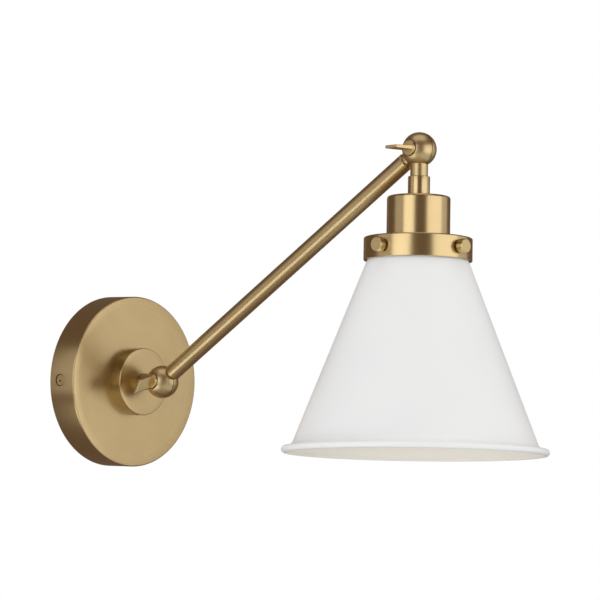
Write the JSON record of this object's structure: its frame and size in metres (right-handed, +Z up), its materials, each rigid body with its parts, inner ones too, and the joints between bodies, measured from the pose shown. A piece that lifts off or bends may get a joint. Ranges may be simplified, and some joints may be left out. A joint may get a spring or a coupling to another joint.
{
  "type": "swing arm wall sconce",
  "caption": "Satin brass wall sconce: round canopy, swivelling stem, arm with two clamped ball knuckles, and a white cone shade in a four-screw collar over a screw lamp socket.",
  "frame": {"origin": "middle of the canopy's back, on the wall", "axes": "+Z up, +Y into the wall, the arm stands out along -Y"},
  "size_m": [0.1864, 0.3996, 0.24],
  "materials": {
    "satin_brass": "satin burnished, fine brushed grain",
    "turned_brass": "satin turned",
    "contact_brass": "bright pressed sheet",
    "zinc_steel": "zinc plated",
    "green_screw": "green dyed zinc",
    "bare_copper": "bare copper",
    "black_insulation": "matt insulation",
    "white_insulation": "matt insulation",
    "connector_plastic": "ribbed moulded plastic",
    "cable_jacket": "matt jacket",
    "fibre_washer": "pressed fibre",
    "white_enamel": "satin white outside, warm cream inside",
    "glazed_porcelain": "glazed"
  },
  "bodies": {
    "wall_mount": {"mounting_strap": "zinc_steel", "ground_screw": "green_screw", "ground_lead": "bare_copper", "supply_lead_black": "black_insulation", "supply_lead_white": "white_insulation", "wire_connectors": "connector_plastic", "canopy": "satin_brass", "canopy_screws": "satin_brass", "hub": "satin_brass", "hub_screws": "zinc_steel"},
    "stem": {"wall_stem": "satin_brass", "stem_washer": "zinc_steel", "stem_nut": "zinc_steel", "stem_cable": "cable_jacket", "lower_pivot_bolt": "satin_brass", "lower_friction_washer": "fibre_washer"},
    "lower_key": {"lower_thumb_key": "turned_brass"},
    "arm": {"lower_knuckle_half": "satin_brass", "arm_tube": "satin_brass", "arm_cable": "cable_jacket", "upper_knuckle_half": "satin_brass"},
    "upper_key": {"upper_thumb_key": "turned_brass"},
    "head": {"head_knuckle_half": "satin_brass", "upper_pivot_bolt": "satin_brass", "upper_friction_washer": "fibre_washer", "neck_coupling": "satin_brass", "head_nipple": "zinc_steel", "head_locknut": "zinc_steel", "head_cable": "cable_jacket", "socket_cup": "satin_brass", "shade_collar": "satin_brass", "shade": "white_enamel", "lampholder_body": "glazed_porcelain", "screw_shell": "contact_brass", "centre_contact": "contact_brass", "terminal_screws": "contact_brass"},
    "collar_screw_front": {"collar_screw_front": "turned_brass"},
    "collar_screw_back": {"collar_screw_back": "turned_brass"},
    "collar_screw_left": {"collar_screw_left": "turned_brass"},
    "collar_screw_right": {"collar_screw_right": "turned_brass"}
  },
  "joints": [
    {"name": "stem_swivel", "type": "hinge", "parent": "wall_mount", "child": "stem", "pos_m": [0, 0, 0], "axis": [0, -1, 0], "range_deg": [-90, 90]},
    {"name": "arm_tilt", "type": "hinge", "parent": "stem", "child": "arm", "pos_m": [0, -0.0536, 0], "axis": [-1, 0, 0], "range_deg": [-84, 41]},
    {"name": "head_tilt", "type": "hinge", "parent": "arm", "child": "head", "pos_m": [0, -0.29734, 0.1644], "axis": [-1, 0, 0], "range_deg": [-5, 120]},
    {"name": "lower_key_turn", "type": "hinge", "parent": "stem", "child": "lower_key", "pos_m": [0, -0.0536, 0], "axis": [-1, 0, 0], "range_deg": [0, 270]},
    {"name": "upper_key_turn", "type": "hinge", "parent": "head", "child": "upper_key", "pos_m": [0, -0.29734, 0.1644], "axis": [-1, 0, 0], "range_deg": [0, 270]},
    {"name": "collar_screw_front_turn", "type": "hinge", "parent": "head", "child": "collar_screw_front", "pos_m": [0, -0.30041, 0.09407], "axis": [0, -0.999, 0.0436], "range_deg": [0, 270]},
    {"name": "collar_screw_back_turn", "type": "hinge", "parent": "head", "child": "collar_screw_back", "pos_m": [0, -0.30041, 0.09407], "axis": [0, 0.999, -0.0436], "range_deg": [0, 270]},
    {"name": "collar_screw_left_turn", "type": "hinge", "parent": "head", "child": "collar_screw_left", "pos_m": [0, -0.30041, 0.09407], "axis": [-1, 0, 0], "range_deg": [0, 270]},
    {"name": "collar_screw_right_turn", "type": "hinge", "parent": "head", "child": "collar_screw_right", "pos_m": [0, -0.30041, 0.09407], "axis": [1, 0, 0], "range_deg": [0, 270]}
  ]
}
